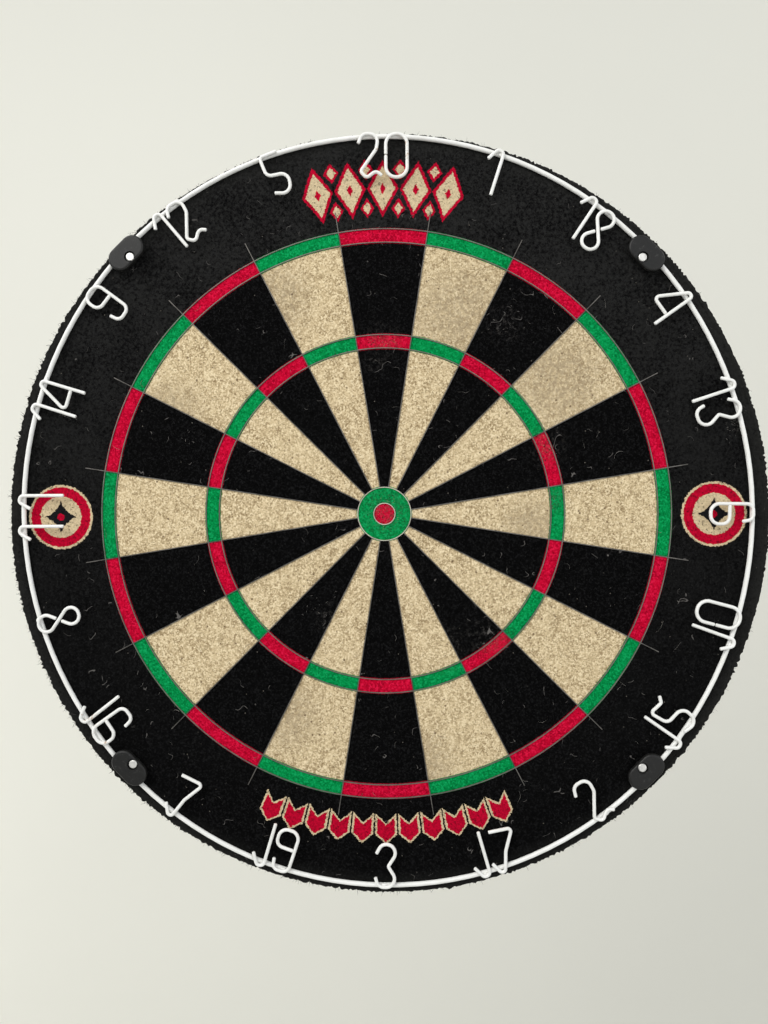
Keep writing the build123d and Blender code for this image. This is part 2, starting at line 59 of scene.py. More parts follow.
class Wire:
    # one output of a node, so that sums on it are written as plain Python
    def __init__(self, finish, socket):
        self.finish, self.socket = finish, socket

    def __add__(self, other): return self.finish.maths("ADD", self, other)
    def __radd__(self, other): return self.finish.maths("ADD", other, self)
    def __sub__(self, other): return self.finish.maths("SUBTRACT", self, other)
    def __rsub__(self, other): return self.finish.maths("SUBTRACT", other, self)
    def __mul__(self, other): return self.finish.maths("MULTIPLY", self, other)
    def __rmul__(self, other): return self.finish.maths("MULTIPLY", other, self)
    def __truediv__(self, other): return self.finish.maths("DIVIDE", self, other)
    def __rtruediv__(self, other): return self.finish.maths("DIVIDE", other, self)
    def __pow__(self, other): return self.finish.maths("POWER", self, other)
    def __rpow__(self, other): return self.finish.maths("POWER", other, self)
    def __abs__(self): return self.finish.maths("ABSOLUTE", self)


class Finish:
    # one material, with its shader's constant values set on the shader itself
    def __init__(self, name, **constants):
        self.material = bpy.data.materials.new(name)
        self.material.use_nodes = True
        self.tree = self.material.node_tree
        self.shader = self.tree.nodes["Principled BSDF"]
        for word, value in constants.items():
            self.shader.inputs[socketNames[word]].default_value = value
        self.place = self.node("ShaderNodeTexCoord", output="Object")

    def node(self, kind, settings=None, inputs=None, output=0):
        # the settings come first, then the values or links of the sockets
        made = self.tree.nodes.new(kind)
        for word, value in (settings or {}).items():
            setattr(made, word, value)
        for word, value in (inputs or {}).items():
            if isinstance(value, Wire):
                self.tree.links.new(value.socket, made.inputs[word])
            else:
                made.inputs[word].default_value = value
        return Wire(self, made.outputs[output])

    def maths(self, operation, *terms):
        return self.node("ShaderNodeMath", {"operation": operation}, dict(enumerate(terms)))

    def grain(self, size, detail=2.0, rough=0.5, at=None, warp=0.0):
        # cloudy noise whose lumps are about `size` metres across, 0 to 1
        return self.node("ShaderNodeTexNoise", None,
                         {"Vector": at or self.place, "Scale": 1 / size, "Detail": detail,
                          "Roughness": rough, "Distortion": warp})

    def cells(self, size, output="Distance", at=None):
        # cells about `size` metres apart: the distance from each middle, or a colour for each cell
        return self.node("ShaderNodeTexVoronoi", None, {"Vector": at or self.place, "Scale": 1 / size}, output)

    def stretched(self, x, y, z):
        return self.node("ShaderNodeVectorMath", {"operation": "MULTIPLY"}, {0: self.place, 1: (x, y, z)})

    def ease(self, value, low, high):
        # 0 below low, 1 above high, smooth between; low may be the larger
        return self.node("ShaderNodeMapRange", {"interpolation_type": "SMOOTHSTEP"},
                         {"Value": value, "From Min": low, "From Max": high})

    def blend(self, share, first, second):
        # on a colour Mix node, socket 0 is the factor and sockets 6 and 7 are the two colours
        first, second = (c if isinstance(c, Wire) else (*c, 1) for c in (first, second))
        return self.node("ShaderNodeMix", {"data_type": "RGBA"}, {0: share, 6: first, 7: second}, 2)

    def axes(self):
        # the place on the board in millimetres: across and up
        return [self.node("ShaderNodeSeparateXYZ", None, {0: self.place}, axis) * (1 / mm) for axis in ("X", "Z")]

    def feed(self, **links):
        for word, value in links.items():
            self.tree.links.new(value.socket, self.shader.inputs[socketNames[word]])

    def bump(self, height, depth, strength):
        made = self.node("ShaderNodeBump", None, {"Height": height, "Distance": depth, "Strength": strength})
        self.tree.links.new(made.socket, self.shader.inputs["Normal"])
        return self.material


sisalLook = {
    "creamPale": (0.81, 0.68, 0.45), "cream": (0.62, 0.492, 0.298), "creamShade": (0.265, 0.187, 0.095),
    "black": (0.0022, 0.0022, 0.0023), "blackPale": (0.0085, 0.0085, 0.0088),
    "blackShade": (0.0015, 0.0015, 0.0015),
    "red": (0.52, 0.002, 0.026), "redPale": (0.68, 0.010, 0.055), "redWorn": (0.20, 0.05, 0.05),
    "green": (0.0008, 0.245, 0.058), "greenPale": (0.006, 0.35, 0.105), "greenWorn": (0.03, 0.10, 0.05),
    "fibreSize": 0.95 * mm, "clumpSize": 4.75 * mm, "cloudSize": 28 * mm, "tuftSize": 1.9 * mm,
    "poreSize": 1.35 * mm, "relief": 0.30 * mm,
}

# colour of each kind of mark on the sisal, and how strongly it covers
markLook = {
    "wash": ((0.70, 0.57, 0.35), 0.20), "bark": ((0.12, 0.075, 0.04), 0.8), "straw": ((0.20, 0.14, 0.08), 0.7),
    "soot": ((0.335, 0.262, 0.165), 1.0), "dust": ((0.085, 0.083, 0.080), 0.55), "ash": ((0.14, 0.13, 0.12), 0.35),
    # hole mark: near black, painted shade inside dart holes
    "hair": ((0.16, 0.15, 0.14), 0.7), "speck": ((0.20, 0.18, 0.15), 0.7), "shadedHole": ((0.012, 0.010, 0.010), 0.85),
    # haze marks: lint with painted light that is paler towards the top, and rim dust with a painted sheen
    "lintAndTopLight": ((0.024, 0.024, 0.0232), 0.75), "rimDustAndSheen": ((0.022, 0.022, 0.0205), 1.0),
}

# across, up and reach in mm: where hands and lint have greyed the face, and where darts have struck most
soiledSpots = [(46, 120, 42), (104, 80, 44), (-66, 128, 34), (-128, 60, 30), (88, -8, 24), (20, -150, 30),
               (-60, -120, 30)]
struckSpots = [(0, 104, 15), (-6, 92, 10), (96, 40, 16), (98, 8, 12), (1, 1, 20), (-32, -62, 14), (34, -80, 20),
               (62, -72, 18), (72, 112, 16), (209, 53, 9), (136, -12, 18)]
spotCore = 0.15       # share of a spot's reach that is fully marked
dyeCreep = (0.84, 0.50)       # mm past a blade where the neighbour's dye fades out, and where it is full


def spotMask(finish, spots):
    # the strongest of several round soft spots
    total = None
    for x, z, reach in spots:
        across, up = finish.across - x, finish.up - z
        spot = finish.ease((across * across + up * up) ** 0.5, reach, reach * spotCore)
        total = spot if total is None else finish.maths("MAXIMUM", total, spot)
    return total


def marked(finish, colour, mask, kind):
    tint, share = markLook[kind]
    return finish.blend(mask * share, colour, tint)


def sisal(name, base, pale, shade):
    # what every dye shares: fibre, clumps and clouds of tone, with the pores between the bundle ends darkened as
    # painted shade
    look = sisalLook
    finish = Finish(name, roughness=0.92, specular=0.025)
    finish.across, finish.up = finish.axes()
    finish.radius = (finish.across * finish.across + finish.up * finish.up) ** 0.5
    finish.fibres = finish.grain(look["fibreSize"], 3.0, 0.65)
    finish.clumps = finish.grain(look["clumpSize"], 2.0, 0.6)
    finish.clouds = finish.grain(look["cloudSize"], 3.0, 0.55)
    colour = finish.blend(finish.ease(finish.fibres * 0.7 + finish.clumps * 0.3, 0.33, 0.56), shade, base)
    tufts = finish.fibres - finish.cells(look["tuftSize"]) * 0.2
    colour = finish.blend(finish.ease(tufts, 0.38, 0.56), colour, pale)
    # the pores take the shade colour: painted shade in the gaps between the bundle ends
    finish.pore = finish.ease(finish.grain(look["poreSize"], 1.0, 0.4, warp=0.6), 0.38, 0.28)
    return finish, finish.blend(finish.pore * 0.8, colour, shade)


def dyeEdge(finish, colour, dye, rings):
    # the scoring dye creeps a little past the blades into the neighbouring field
    radius = finish.radius + (finish.grain(1.1 * mm, 2.0) - 0.5) * 0.9
    near = None
    for ring in rings:
        gap = abs(radius - ring)
        near = gap if near is None else finish.maths("MINIMUM", near, gap)
    return finish.blend(finish.ease(near, *dyeCreep) * 0.9, colour, dye)


def creamSisal():
    look = sisalLook
    finish, colour = sisal("cream sisal", look["cream"], look["creamPale"], look["creamShade"])
    colour = marked(finish, colour, finish.ease(finish.clouds, 0.35, 0.75), "wash")
    grime = finish.ease(finish.grain(2.4 * mm, 3.0, 0.65), 0.38, 0.62)
    colour = marked(finish, colour, spotMask(finish, soiledSpots) * (0.22 + 0.55 * grime), "soot")
    # brown flecks of bark, large and small
    bark = finish.ease(finish.cells(5.2 * mm), 0.15, 0.09) * finish.ease(finish.grain(9 * mm), 0.40, 0.53)
    colour = marked(finish, colour, bark, "bark")
    straw = finish.ease(finish.cells(2.6 * mm), 0.11, 0.05) * finish.ease(finish.grain(5 * mm, 1.0), 0.50, 0.58)
    colour = marked(finish, colour, straw, "straw")
    colour = dyeEdge(finish, colour, look["green"], (outerBull, trebleIn, trebleOut, doubleIn))
    finish.feed(colour=colour, roughness=0.86 + 0.12 * finish.fibres)
    return finish.bump(finish.fibres * 0.6 + finish.clumps * 0.9 - finish.pore * 0.8, look["relief"], 0.75)


def blackBase(name):
    # black dye with lint rubbed in and pale scuffs where darts struck
    look = sisalLook
    finish, colour = sisal(name, look["black"], look["blackPale"], look["blackShade"])
    dust = finish.ease(finish.grain(0.8 * mm, 3.0, 0.75), 0.64, 0.78) * finish.ease(finish.clouds, 0.38, 0.65)
    colour = marked(finish, colour, dust, "dust")
    struck = spotMask(finish, struckSpots)
    colour = marked(finish, colour, struck * finish.ease(finish.grain(3.2 * mm, 4.0, 0.8), 0.50, 0.72), "ash")
    # stray hairs and light scratches: thin bent lines, only here and there
    line = finish.ease(abs(finish.grain(11 * mm, 2.0, 0.45) - 0.5), 0.0075, 0.003)
    there = finish.grain(7 * mm, 1.0, at=finish.stretched(1, 1, -1)) + struck * 0.14
    colour = marked(finish, colour, line * finish.ease(there, 0.635, 0.685), "hair")
    speck = finish.ease(finish.cells(6 * mm), 0.065, 0.035) * finish.ease(finish.grain(16 * mm, 1.0), 0.45, 0.54)
    return finish, marked(finish, colour, speck, "speck")


def blackDone(finish, colour):
    finish.feed(colour=colour, roughness=0.84 + 0.14 * finish.fibres)
    return finish.bump(finish.fibres * 0.6 + finish.clumps * 1.1 - finish.pore, sisalLook["relief"], 0.9)


def blackSisal():
    finish, colour = blackBase("black sisal")
    dye = tuple(c * 0.8 for c in sisalLook["red"])
    return blackDone(finish, dyeEdge(finish, colour, dye, (trebleIn, trebleOut, doubleIn)))


def dyedSisal(name, base, pale, worn):
    # red and green scoring fields: thick dye with its pores darkened as painted shade, rubbed thin where darts land
    finish, colour = sisal(name, base, pale, tuple(c * 0.55 for c in base))
    struck = spotMask(finish, struckSpots)
    rubbed = struck * finish.ease(finish.grain(1.4 * mm, 3.0, 0.7), 0.42, 0.62)
    colour = finish.blend(rubbed * 0.55, colour, worn)
    holes = finish.ease(struck + finish.grain(4 * mm) * 0.5, 0.42, 0.75)
    # dart holes painted near black: painted shade inside the holes, which the bump also sinks
    shadedHole = finish.ease(finish.cells(2.1 * mm), 0.21, 0.10) * holes
    colour = marked(finish, colour, shadedHole, "shadedHole")
    bare = finish.ease(finish.cells(1.7 * mm, at=finish.stretched(1, 1, -1)), 0.20, 0.10)
    faded = tuple(0.5 * (dye + cream) for dye, cream in zip(base, sisalLook["cream"]))
    colour = finish.blend(bare * finish.ease(struck, 0.45, 0.8) * 0.55, colour, faded)
    finish.feed(colour=colour, roughness=0.80 + 0.15 * finish.fibres)
    height = finish.fibres * 0.6 + finish.clumps - finish.pore - shadedHole * 1.5
    return finish.bump(height, sisalLook["relief"], 0.7)


# printed marks on the surround, sizes in mm: lozenges at the top, chevrons at the bottom, a roundel each side
printLook = {
    "lozengeRadius": 194.0, "lozengeHalfWidth": 9.7, "lozengeHalfHeight": 17.5, "lozengePitch": 19.6,
    "lozengeCount": 5, "lozengeCream": 0.80, "lozengePip": 0.22, "lozengeSoft": 0.05,
    "smallRise": 11.5, "smallHalfWidth": 4.6, "smallHalfHeight": 6.4, "smallCream": 0.62,
    "chevronRadius": 188.5, "chevronPitch": 14.0, "chevronCount": 11, "chevronSlope": 0.9,
    "chevronDrop": 2.8, "chevronBar": 5.2, "chevronGap": 1.5,
    "roundelAcross": 195.0, "roundelUp": -1.0, "roundelRadius": 19.5, "roundelBand": 4.3, "roundelField": 8.2,
    "starPower": 0.7, "starReach": 5.1, "eye": 2.3, "rowSoft": 0.2, "inkSpread": 1.1,
    "cream": (0.66, 0.53, 0.33), "red": (0.52, 0.003, 0.028), "black": (0.010, 0.010, 0.011),
    # pore: the ink's colour in the pores, painted shade
    "pore": (0.006, 0.006, 0.006),
}


def printedSisal():
    ink = printLook
    finish, colour = blackBase("black sisal, printed")
    fibres = finish.fibres
    # lint greys the face in patches that grow paler towards the top, which is painted light from above; the cut rim is
    # paler, partly dust and partly a painted sheen where its fibres catch the light
    lint = finish.ease(finish.grain(2.2 * mm, 4.0, 0.8) + 0.35 * finish.clouds, 0.52, 0.80)
    colour = marked(finish, colour, finish.ease(finish.up, -200, 230) * lint, "lintAndTopLight")
    colour = marked(finish, colour, finish.ease(finish.radius, 212, 228) * (0.35 + 0.65 * fibres), "rimDustAndSheen")
    # the doubles' dye creeps just past their outer blade
    turn = finish.maths("WRAP", finish.maths("ARCTAN2", finish.across, finish.up) + fieldTurn / 2, fieldTurn * 2, 0)
    dye = finish.blend(finish.maths("LESS_THAN", turn, fieldTurn), sisalLook["green"], sisalLook["red"])
    colour = finish.blend(finish.ease(finish.radius + fibres * 0.8, 171.15, 170.75) * 0.9, colour, dye)

    # the ink creeps along the fibres, so every edge wanders a little
    across = finish.across + (finish.grain(1.3 * mm, 2.0, 0.6) - 0.5) * 2 * ink["inkSpread"]
    up = finish.up + (finish.grain(1.7 * mm, 2.0, 0.6) - 0.5) * 2 * ink["inkSpread"]
    radius = (across * across + up * up) ** 0.5

    def either(first, second):
        return finish.maths("MAXIMUM", first, second)

    def repeat(value, pitch):
        return finish.maths("WRAP", value, pitch / 2, -pitch / 2)

    def row(along, half, soft):
        # 1 inside a row of marks, 0 past its ends
        return finish.ease(abs(along), half, half - soft)

    # top: upright lozenges, cream with a red border and a red pip
    pitch, count, soft = ink["lozengePitch"], ink["lozengeCount"], ink["lozengeSoft"]
    along = finish.maths("ARCTAN2", across, up) * ink["lozengeRadius"]
    rise = abs(radius - ink["lozengeRadius"])
    reach = abs(repeat(along, pitch)) / ink["lozengeHalfWidth"] + rise / ink["lozengeHalfHeight"]
    ends = row(along, pitch * count / 2, ink["rowSoft"])
    topRed, topCream, topPip = (finish.ease(reach, edge, edge - soft) * ends
                                for edge in (1.0, ink["lozengeCream"], ink["lozengePip"]))
    # smaller lozenges fill the gaps above and below
    reach = (abs(repeat(along + pitch / 2, pitch)) / ink["smallHalfWidth"]
             + abs(rise - ink["smallRise"]) / ink["smallHalfHeight"])
    ends = row(along, pitch * (count - 0.5) / 2, pitch * 0.05)
    topRed = either(topRed, finish.ease(reach, 1.0, 0.88) * ends)
    topCream = either(topCream, finish.ease(reach, ink["smallCream"], ink["smallCream"] - 0.08) * ends)

    # bottom: a row of chevrons, red with a cream border
    pitch = ink["chevronPitch"]
    along = finish.maths("ARCTAN2", across, up * -1) * ink["chevronRadius"]
    cell = abs(repeat(along, pitch))
    bar = abs(radius - ink["chevronRadius"] + cell * ink["chevronSlope"] - ink["chevronDrop"])
    edge = either(cell - (pitch / 2 - ink["chevronGap"]), bar - ink["chevronBar"])
    ends = row(along, pitch * ink["chevronCount"] / 2, ink["rowSoft"])
    lowCream = finish.ease(edge, 1.1, 0.9) * ends
    lowRed = finish.ease(edge, -0.1, -0.3) * ends

    # sides: a roundel round a four-point star, the same left and right
    sideways = abs(across) - ink["roundelAcross"]
    upright = up - ink["roundelUp"]
    ring = (sideways * sideways + upright * upright) ** 0.5
    rim = ink["roundelRadius"]
    star = abs(sideways) ** ink["starPower"] + abs(upright) ** ink["starPower"]
    wash = finish.ease(fibres, 0.35, 0.65)
    creamWash = finish.blend(wash, tuple(c * 0.72 for c in ink["cream"]), ink["cream"])
    redWash = finish.blend(wash, tuple(c * 0.62 for c in ink["red"]), ink["red"])

    colour = finish.blend(either(topCream, lowCream), colour, creamWash)
    colour = finish.blend(either(topRed - topCream + topPip, lowRed), colour, redWash)
    colour = finish.blend(finish.ease(ring, rim, rim - 0.4), colour, creamWash)
    colour = finish.blend(finish.ease(abs(ring - (rim - ink["roundelBand"])), 2.9, 2.6), colour, redWash)
    field = finish.ease(ring, rim - ink["roundelField"], rim - ink["roundelField"] - 0.4)
    starMask = finish.ease(star, ink["starReach"], ink["starReach"] - 0.2) * field
    colour = finish.blend(starMask, colour, ink["black"])
    colour = finish.blend(finish.ease(ring, ink["eye"], ink["eye"] - 0.3), colour, redWash)
    # the ink darkens in the pores too: painted shade
    return blackDone(finish, finish.blend(finish.pore * 0.5, colour, ink["pore"]))


sisalFinishes = {
    "natural": creamSisal(), "black": blackSisal(),
    "red": dyedSisal("red sisal", sisalLook["red"], sisalLook["redPale"], sisalLook["redWorn"]),
    "green": dyedSisal("green sisal", sisalLook["green"], sisalLook["greenPale"], sisalLook["greenWorn"]),
    "printed": printedSisal(),
}
print("sisal finishes made")


faceLook = {
    "pitch": 1.15 * mm, "swell": 0.12 * mm, "edgeDip": 0.18 * mm, "edgeWidth": 0.9 * mm, "bladeHalf": 0.29 * mm,
    "lumps": (2.6 * mm, 9 * mm), "bullLumps": (2.2 * mm, 7 * mm), "bullPitch": 0.7 * 1.15 * mm, "bullSides": 96,
}


def corner(node, end, axis):
    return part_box(node)[end][axis]


faceFront = corner("sisal_surround", 0, 1)
faceBack = corner("sisal_surround", 1, 1)
boardRim = corner("sisal_surround", 1, 0)


def polar(radius, bearing):
    return radius * math.sin(bearing), radius * math.cos(bearing)


def swell(x, y, z, size):
    return noise.noise(Vector((x / size, y / size, z / size)))


def lump(x, z, small, large):
    # small and large swellings together, the large ones from another layer of the noise
    return 0.6 * swell(x, 0, z, small) + 0.4 * swell(x, 5, z, large)


def bladeDip(near):
    # the face sinks beside a blade
    return faceLook["edgeDip"] * max(0, 1 - near / faceLook["edgeWidth"]) ** 2


def makePiece(name, points, faces, material, body, slot, smooth=55):
    mesh = bpy.data.meshes.new(name)
    mesh.from_pydata(points, [], faces)
    mesh.materials.append(material)
    mesh.polygons.foreach_set("use_smooth", [True] * len(mesh.polygons))
    mesh.update()
    mesh.set_sharp_from_angle(angle=math.radians(smooth))
    piece = bpy.data.objects.new(name, mesh)
    bpy.context.scene.collection.objects.link(piece)
    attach(piece, body)
    return piece


def joined(*blocks):
    points, faces = [], []
    for somePoints, someFaces in blocks:
        start = len(points)
        points += somePoints
        faces += [tuple(k + start for k in face) for face in someFaces]
    return points, faces


def closedGrid(rows, wallRows):
    # a grid of points becomes a closed block: its border drops straight to the back and a flat back closes it
    high, wide = len(rows), len(rows[0])
    points = [p for row in rows for p in row]
    faces = [(i * wide + j, i * wide + j + 1, (i + 1) * wide + j + 1, (i + 1) * wide + j)
             for i in range(high - 1) for j in range(wide - 1)]
    border = (list(range(wide)) + [i * wide + wide - 1 for i in range(1, high)]
              + [(high - 1) * wide + j for j in range(wide - 2, -1, -1)] + [i * wide for i in range(high - 2, 0, -1)])
    above = border
    for step in range(1, wallRows + 1):
        start = len(points)
        for index in border:
            x, y, z = points[index]
            points.append((x, y + (faceBack - y) * step / wallRows, z))
        below = list(range(start, start + len(border)))
        faces += [(above[(k + 1) % len(border)], above[k], below[k], below[(k + 1) % len(border)])
                  for k in range(len(border))]
        above = below
    faces.append(tuple(above[::-1]))
    return points, faces


def fieldRows(inner, outer, bearing):
    # one field between two radial blades and two ring blades
    look = faceLook
    halfTurn = fieldTurn / 2
    inner, outer = inner + look["bladeHalf"], outer - look["bladeHalf"]
    high = max(3, round((outer - inner) / look["pitch"]))
    wide = max(6, round(outer * 2 * halfTurn * 0.82 / look["pitch"]))     # fewer points across than the outer edge
    rows = []
    for i in range(high + 1):
        radius = inner + (outer - inner) * i / high
        half = halfTurn - math.asin(look["bladeHalf"] / radius)
        row = []
        for j in range(wide + 1):
            side = 2 * j / wide - 1
            x, z = polar(radius, bearing + side * half)
            near = min(radius - inner, outer - radius, radius * half * (1 - abs(side)))
            row.append((x, faceFront + look["swell"] * (1 + lump(x, z, *look["lumps"])) + bladeDip(near), z))
        rows.append(row)
    return rows


for place, number in enumerate(numberOrder):
    single, scoring = ("black", "red") if place % 2 == 0 else ("natural", "green")
    for kind, dye, bands in (("single", single, ((outerBull, trebleIn), (trebleOut, doubleIn))),
                             ("scoring", scoring, ((trebleIn, trebleOut), (doubleIn, doubleOut)))):
        blocks = [closedGrid(fieldRows(inner * mm, outer * mm, place * fieldTurn), 3) for inner, outer in bands]
        piece = makePiece(f"sisal_{kind}_{number}", *joined(*blocks), sisalFinishes[dye], "board", f"sisal_{dye}")
        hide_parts(f"sisal_{dye}_fields")


def bullBlock(inner, outer):
    # a ring, or a disc when inner is 0, as points by radius and bearing
    look = faceLook
    inner, outer = inner + (look["bladeHalf"] if inner else 0), outer - look["bladeHalf"]
    high, wide = max(5, round((outer - inner) / look["bullPitch"])), look["bullSides"]
    points = []
    for i in range(high + 1):
        radius = inner + (outer - inner) * i / high
        for j in range(wide):
            x, z = polar(radius, math.tau * j / wide)
            near = min(outer - radius, radius - inner if inner else 1)
            points.append((x, faceFront + look["swell"] * (1 + lump(x, z, *look["bullLumps"])) + bladeDip(near), z))
    faces = [(i * wide + j, i * wide + (j + 1) % wide, (i + 1) * wide + (j + 1) % wide, (i + 1) * wide + j)
             for i in range(high) for j in range(wide)]
    if inner == 0:
        # the middle closes on one point
        points = [points[0]] + points[wide:]
        faces = [tuple(dict.fromkeys(max(0, v - wide + 1) for v in face)) for face in faces]

    def wall(above, flip):
        # a straight wall from a ring of points to the back
        start = len(points)
        points.extend((points[index][0], faceBack, points[index][2]) for index in above)
        below = list(range(start, start + wide))
        for j in range(wide):
            k = (j + 1) % wide
            quad = (above[k], above[j], below[j], below[k])
            faces.append(quad[::-1] if flip else quad)
        return below

    last = len(points) - wide
    low = wall(list(range(last, last + wide)), True)
    if inner:
        inside = wall(list(range(wide)), False)
        for j in range(wide):
            k = (j + 1) % wide
            faces.append((low[j], low[k], inside[k], inside[j]))
    else:
        faces.append(tuple(low))
    return points, faces


for name, inner, outer, dye in (("sisal_bull_outer", bull, outerBull, "green"), ("sisal_bull_centre", 0, bull, "red")):
    piece = makePiece(name, *bullBlock(inner * mm, outer * mm), sisalFinishes[dye], "board", f"sisal_{dye}")
    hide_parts(f"sisal_{dye}_fields")
print("scoring fields made")


rimLook = {
    "pieces": 10, "round": 0.9 * mm, "bends": 4, "backLip": 0.1 * mm, "ragged": 1.25 * mm, "full": 1.25 * mm,
    "offset": 0.9 * mm, "offsetAt": 80, "fraySpan": 3.2 * mm, "tuftSize": 11 * mm, "waveSize": 7 * mm,
    "coarseSize": 2.3 * mm, "fineSize": 1.2 * mm,
}


def surroundRows(index):
    # one piece of the ring outside the doubles; its rim is rounded over and ragged with cut fibre
    look, rim = faceLook, rimLook
    inner, outer, curve = doubleOut * mm + look["bladeHalf"], boardRim, rim["round"]
    high = round((outer - curve - inner) / look["pitch"])
    # radius, depth, and how much of the surface there faces outward and forward
    profile = [(inner + (outer - curve - inner) * i / high, faceFront, 0.0, -1.0) for i in range(high + 1)]
    for i in range(1, rim["bends"] + 1):
        turn = math.pi / 2 * i / rim["bends"]
        profile.append((outer - curve + curve * math.sin(turn), faceFront + curve - curve * math.cos(turn),
                        math.sin(turn), -math.cos(turn)))
    depth = faceBack - faceFront - curve - rim["backLip"]
    drop = round(depth / look["pitch"])
    profile += [(outer, faceFront + curve + depth * i / drop, 1.0, 0.0) for i in range(1, drop + 1)]
    wide = round(outer * math.tau / rim["pieces"] / look["pitch"])
    rows = []
    for radius, y, outward, forward in profile:
        row = []
        for j in range(wide + 1):
            bearing = math.tau * (index - 0.5 + j / wide) / rim["pieces"]
            x, z = polar(radius, bearing)
            rough = look["swell"] * (lump(x, z, *look["lumps"]) - 1)
            tuft = 1.15 + 1.5 * swell(x, 3, z, rim["tuftSize"])
            tatter = tuft * (0.32 * swell(x, y, z, rim["coarseSize"]) + 0.75 * swell(x, y + 2, z, rim["fineSize"]))
            tatter += 0.16 * swell(x, y + 1, z, rim["waveSize"])
            nearRim = max(0, 1 - (outer - radius) / rim["fraySpan"]) ** 1.3
            full = rim["full"] + rim["offset"] * math.cos(bearing - math.radians(rim["offsetAt"]))
            frayed = rim["ragged"] * nearRim * (tatter - 0.1 * outward - 0.42 * (1 - outward))
            push = rough * (1 - nearRim) + frayed + full * outward * nearRim
            x, z = polar(radius + outward * push, bearing)
            row.append((x, y + forward * push + bladeDip(radius - inner), z))
        rows.append(row)
    return rows


for index in range(rimLook["pieces"]):
    piece = makePiece(f"sisal_surround_{index + 1}", *closedGrid(surroundRows(index), 1), sisalFinishes["printed"],
                      "board", "sisal_black", 70)
    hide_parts("sisal_surround")
print("surround made")


fuzzLook = {
    "rimCount": 6500, "rimLength": (0.9 * mm, 4.6 * mm), "rimThickness": 0.17 * mm, "rimRoot": 1.1 * mm,
    "frontGap": 0.6 * mm, "backGap": 1.0 * mm, "forwardLean": (-0.7, 0.45), "sideLean": 0.9, "curl": 0.35,
    "rimDark": (0.010, 0.010, 0.010), "rimPale": (0.075, 0.072, 0.066),
    "lintCount": 130, "lintLength": (2.0 * mm, 9.0 * mm), "lintThickness": 0.085 * mm, "lintReach": 0.205,
    "lintProud": 0.03 * mm, "lintWave": 0.05 * mm, "lintBend": 2.6, "lintSteps": 6, "tornLift": 0.12 * mm,
    "lintDark": (0.11, 0.105, 0.10), "lintPale": (0.30, 0.28, 0.25),
}
# where fibre has been torn into a pale fuzz: across, up, reach in mm and strands
tornSpots = ((208, 49, 3.0, 26), (209, 56, 2.2, 16), (73, 112, 5.0, 16), (-39, -58, 5.0, 12), (-118, 49, 4.0, 8))


def strand(points, faces, path, thickness, sides=3):
    # a thin tapered fibre along a path, closed at both ends
    start = len(points)
    last = len(path) - 1
    for k, place in enumerate(path):
        ahead = (path[min(k + 1, last)] - path[max(k - 1, 0)]).normalized()
        across = ahead.orthogonal().normalized()
        other = ahead.cross(across)
        width = thickness * (1 - 0.75 * (k / last))
        for s in range(sides):
            turn = math.tau * s / sides
            points.append(tuple(place + (across * math.cos(turn) + other * math.sin(turn)) * width))
    for k in range(last):
        low, high = start + k * sides, start + (k + 1) * sides
        for s in range(sides):
            t = (s + 1) % sides
            faces.append((low + s, low + t, high + t, high + s))
    faces.append(tuple(start + s for s in range(sides))[::-1])
    faces.append(tuple(start + last * sides + s for s in range(sides)))


def fuzzFinish(name, dark, pale):
    finish = Finish(name, roughness=0.8, specular=0.2)
    tint = finish.blend(finish.ease(finish.grain(3.5 * mm, 2.0), 0.35, 0.7), dark, pale)
    finish.feed(colour=tint, roughness=0.7 + 0.25 * finish.grain(2 * mm))
    return finish.bump(finish.grain(0.4 * mm), 0.05 * mm, 0.5)


rng = random.Random(41)
points, faces = [], []
for k in range(fuzzLook["rimCount"]):
    bearing = rng.uniform(0, math.tau)
    y = rng.uniform(faceFront + fuzzLook["frontGap"], faceBack - fuzzLook["backGap"])
    x, z = polar(boardRim - fuzzLook["rimRoot"], bearing)
    lean = Vector((math.sin(bearing), rng.uniform(*fuzzLook["forwardLean"]), math.cos(bearing)))
    sideLean = rng.uniform(-fuzzLook["sideLean"], fuzzLook["sideLean"])
    lean += Vector((math.cos(bearing), 0, -math.sin(bearing))) * sideLean
    length = rng.uniform(*fuzzLook["rimLength"]) * rng.uniform(0.5, 1)
    curl = Vector((rng.uniform(-1, 1), rng.uniform(-1, 1), rng.uniform(-1, 1))) * fuzzLook["curl"]
    lean.normalize()
    path = [Vector((x, y, z)) + (lean * t + curl * t * t) * length for t in (0, 0.35, 0.7, 1)]
    strand(points, faces, path, fuzzLook["rimThickness"] * rng.uniform(0.6, 1.2))
makePiece("rim_fibres", points, faces, fuzzFinish("black fibre", fuzzLook["rimDark"], fuzzLook["rimPale"]),
          "board", "sisal_black")

points, faces = [], []
lintY = faceFront - fuzzLook["lintProud"]
steps = fuzzLook["lintSteps"]
for k in range(fuzzLook["lintCount"]):
    radius = math.sqrt(rng.uniform(0.02, 1)) * fuzzLook["lintReach"]
    x, z = polar(radius, rng.uniform(0, math.tau))
    heading, bend = rng.uniform(0, math.tau), rng.uniform(-fuzzLook["lintBend"], fuzzLook["lintBend"])
    length = rng.uniform(*fuzzLook["lintLength"]) * rng.uniform(0.35, 1)
    path = []
    for t in range(steps + 1):
        path.append(Vector((x, lintY + fuzzLook["lintWave"] * math.sin(t * 1.7), z)))
        x += math.cos(heading) * length / steps
        z += math.sin(heading) * length / steps
        heading += bend / steps + rng.uniform(-0.25, 0.25)
    strand(points, faces, path, fuzzLook["lintThickness"] * rng.uniform(0.6, 1.1))
lift = Vector((0, -fuzzLook["tornLift"], 0))
